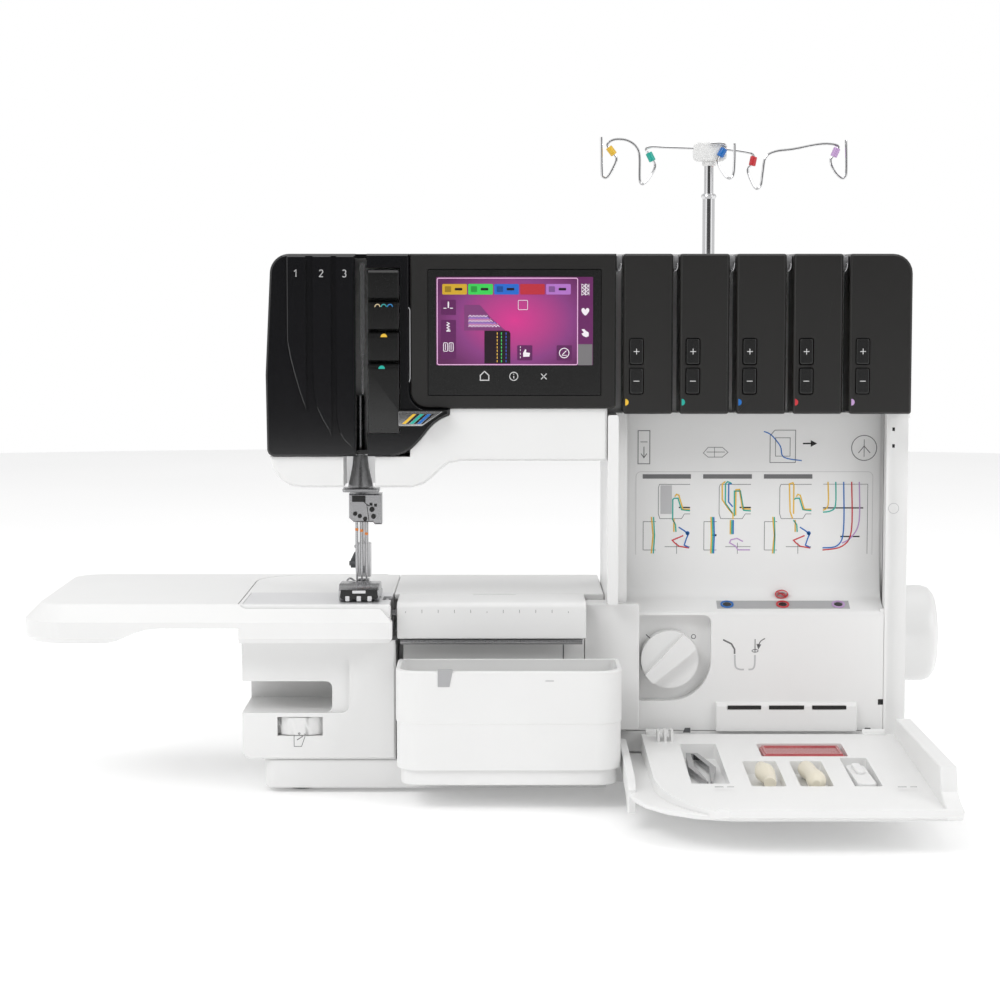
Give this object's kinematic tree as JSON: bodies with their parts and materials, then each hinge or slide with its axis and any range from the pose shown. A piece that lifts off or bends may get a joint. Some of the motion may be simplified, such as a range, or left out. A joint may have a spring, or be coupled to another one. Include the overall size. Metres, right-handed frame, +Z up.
{
  "type": "serger overlock machine",
  "caption": "Electronic overlock sewing machine with touch screen, air threading, slide-on table, waste bin, fold-down tool door and telescopic thread mast.",
  "frame": {"origin": "centre of the machine's box on the surface that it stands on", "axes": "+X to the operator's right, +Y away from the operator, +Z up"},
  "size_m": [0.574, 0.371, 0.4126],
  "materials": {
    "white_shell": "satin gloss",
    "piano_black": "high gloss",
    "satin_black": "satin",
    "screen_glass": "polished",
    "chrome": "polished",
    "steel": "brushed",
    "cast_metal": "as cast",
    "rubber": "matt",
    "grey_plastic": "satin",
    "red_plastic": "translucent look",
    "printed_marks": "print",
    "cream_plastic": "satin",
    "accent_plastic": "satin"
  },
  "bodies": {
    "machine_body": {"base_tray": "white_shell", "foot_front_left": "rubber", "foot_front_right": "rubber", "foot_rear_left": "rubber", "foot_rear_right": "rubber", "free_arm_housing": "white_shell", "bed_cover": "white_shell", "arm_cover": "white_shell", "tower_housing": "white_shell", "rear_cover": "white_shell", "bay_panel": "white_shell", "chassis_frame": "cast_metal", "head_cover": "piano_black", "thread_guide_block": "piano_black", "display_bezel": "satin_black", "touch_screen": "screen_glass", "tension_module_1": "piano_black", "tension_module_2": "piano_black", "tension_module_3": "piano_black", "tension_module_4": "piano_black", "tension_module_5": "piano_black", "stitch_plate": "steel", "motor": "cast_metal", "drive_belt": "rubber", "mast_lower_tube": "chrome", "spool_stand": "white_shell"},
    "handwheel_and_shaft": {"handwheel": "white_shell", "main_shaft": "steel"},
    "motor_pulley": {"motor_pulley": "steel"},
    "needle_bar": {"needle_bar": "steel", "needle_clamp": "chrome"},
    "presser_bar": {"presser_bar": "chrome"},
    "presser_foot": {"presser_foot": "chrome"},
    "take_up_lever": {"take_up_lever": "chrome"},
    "feed_dog": {"feed_dog": "steel"},
    "lower_looper": {"lower_looper": "steel"},
    "upper_looper": {"upper_looper": "steel"},
    "upper_knife": {"upper_knife": "steel"},
    "tool_door": {"tool_door": "white_shell", "knife_box": "red_plastic", "tweezers": "chrome"},
    "cover_rod": {"cover_hinge_rod": "steel"},
    "looper_cover": {"looper_cover": "white_shell"},
    "waste_bin": {"waste_bin": "white_shell"},
    "slide_on_table": {"slide_on_table": "white_shell"},
    "threading_knob": {"threading_knob": "white_shell"},
    "thumbwheel": {"thumbwheel": "white_shell"},
    "mast_top": {"mast_upper_tube": "chrome", "thread_guide_rail": "chrome"},
    "power_switch": {"power_switch": "grey_plastic"},
    "plus_key_1": {"plus_key_1": "piano_black"},
    "minus_key_1": {"minus_key_1": "piano_black"},
    "plus_key_2": {"plus_key_2": "piano_black"},
    "minus_key_2": {"minus_key_2": "piano_black"},
    "plus_key_3": {"plus_key_3": "piano_black"},
    "minus_key_3": {"minus_key_3": "piano_black"},
    "plus_key_4": {"plus_key_4": "piano_black"},
    "minus_key_4": {"minus_key_4": "piano_black"},
    "plus_key_5": {"plus_key_5": "piano_black"},
    "minus_key_5": {"minus_key_5": "piano_black"}
  },
  "joints": [
    {"name": "handwheel_spin", "type": "hinge", "parent": "machine_body", "child": "handwheel_and_shaft", "pos_m": [0.274, 0.0785, 0.088], "axis": [1, 0, 0], "continuous": true},
    {"name": "motor_pulley_spin", "type": "hinge", "parent": "machine_body", "child": "motor_pulley", "pos_m": [0.226, 0.0735, 0.159], "axis": [1, 0, 0], "continuous": true},
    {"name": "needle_bar_travel", "type": "slide", "parent": "machine_body", "child": "needle_bar", "axis": [0, 0, -1], "range_m": [0, 0.025]},
    {"name": "presser_lift", "type": "slide", "parent": "machine_body", "child": "presser_bar", "axis": [0, 0, 1], "range_m": [0, 0.007]},
    {"name": "foot_tilt", "type": "hinge", "parent": "presser_bar", "child": "presser_foot", "pos_m": [-0.08, 0.0295, 0.125], "axis": [-1, 0, 0], "range_deg": [0, 8]},
    {"name": "take_up_travel", "type": "slide", "parent": "machine_body", "child": "take_up_lever", "axis": [0, 0, -1], "range_m": [0, 0.022]},
    {"name": "feed_travel", "type": "slide", "parent": "machine_body", "child": "feed_dog", "axis": [0, 1, 0], "range_m": [-0.002, 0.002]},
    {"name": "lower_looper_swing", "type": "hinge", "parent": "machine_body", "child": "lower_looper", "pos_m": [-0.034, 0.0295, 0.079], "axis": [0, 1, 0], "range_deg": [-6, 6]},
    {"name": "upper_looper_swing", "type": "hinge", "parent": "machine_body", "child": "upper_looper", "pos_m": [-0.024, 0.011, 0.081], "axis": [0, 1, 0], "range_deg": [-5, 5]},
    {"name": "upper_knife_travel", "type": "slide", "parent": "machine_body", "child": "upper_knife", "axis": [0, 0, -1], "range_m": [0, 0.004]},
    {"name": "door_fold", "type": "hinge", "parent": "machine_body", "child": "tool_door", "pos_m": [0.166, 0.0075, 0.035], "axis": [-1, 0, 0], "range_deg": [0, 90]},
    {"name": "looper_cover_slide", "type": "slide", "parent": "machine_body", "child": "cover_rod", "axis": [1, 0, 0], "range_m": [0, 0.01]},
    {"name": "looper_cover_swing", "type": "hinge", "parent": "cover_rod", "child": "looper_cover", "pos_m": [0.006, -0.0071, 0.0944], "axis": [1, 0, 0], "range_deg": [0, 80]},
    {"name": "waste_bin_pull", "type": "slide", "parent": "machine_body", "child": "waste_bin", "axis": [0, -1, 0], "range_m": [0, 0.08]},
    {"name": "table_pull", "type": "slide", "parent": "machine_body", "child": "slide_on_table", "axis": [-1, 0, 0], "range_m": [0, 0.17]},
    {"name": "knob_turn", "type": "hinge", "parent": "machine_body", "child": "threading_knob", "pos_m": [0.112, 0.0145, 0.0804], "axis": [0, -1, 0], "range_deg": [0, 90]},
    {"name": "thumbwheel_turn", "type": "hinge", "parent": "machine_body", "child": "thumbwheel", "pos_m": [-0.1175, 0.012, 0.042], "axis": [0, 0, 1], "range_deg": [-60, 60]},
    {"name": "mast_extend", "type": "slide", "parent": "machine_body", "child": "mast_top", "axis": [0, 0, 1], "range_m": [-0.017, 0.15]},
    {"name": "power_rock", "type": "hinge", "parent": "machine_body", "child": "power_switch", "pos_m": [0.2598, 0.0485, 0.048], "axis": [0, 1, 0], "range_deg": [-8, 8]},
    {"name": "plus_key_1_press", "type": "slide", "parent": "machine_body", "child": "plus_key_1", "axis": [0, 1, 0], "range_m": [0, 0.001], "stiffness_N_per_m": 300},
    {"name": "minus_key_1_press", "type": "slide", "parent": "machine_body", "child": "minus_key_1", "axis": [0, 1, 0], "range_m": [0, 0.001], "stiffness_N_per_m": 300},
    {"name": "plus_key_2_press", "type": "slide", "parent": "machine_body", "child": "plus_key_2", "axis": [0, 1, 0], "range_m": [0, 0.001], "stiffness_N_per_m": 300},
    {"name": "minus_key_2_press", "type": "slide", "parent": "machine_body", "child": "minus_key_2", "axis": [0, 1, 0], "range_m": [0, 0.001], "stiffness_N_per_m": 300},
    {"name": "plus_key_3_press", "type": "slide", "parent": "machine_body", "child": "plus_key_3", "axis": [0, 1, 0], "range_m": [0, 0.001], "stiffness_N_per_m": 300},
    {"name": "minus_key_3_press", "type": "slide", "parent": "machine_body", "child": "minus_key_3", "axis": [0, 1, 0], "range_m": [0, 0.001], "stiffness_N_per_m": 300},
    {"name": "plus_key_4_press", "type": "slide", "parent": "machine_body", "child": "plus_key_4", "axis": [0, 1, 0], "range_m": [0, 0.001], "stiffness_N_per_m": 300},
    {"name": "minus_key_4_press", "type": "slide", "parent": "machine_body", "child": "minus_key_4", "axis": [0, 1, 0], "range_m": [0, 0.001], "stiffness_N_per_m": 300},
    {"name": "plus_key_5_press", "type": "slide", "parent": "machine_body", "child": "plus_key_5", "axis": [0, 1, 0], "range_m": [0, 0.001], "stiffness_N_per_m": 300},
    {"name": "minus_key_5_press", "type": "slide", "parent": "machine_body", "child": "minus_key_5", "axis": [0, 1, 0], "range_m": [0, 0.001], "stiffness_N_per_m": 300}
  ],
  "couplings": [
    {"joint": "motor_pulley_spin", "follows": "handwheel_spin", "ratio": 2.5}
  ]
}
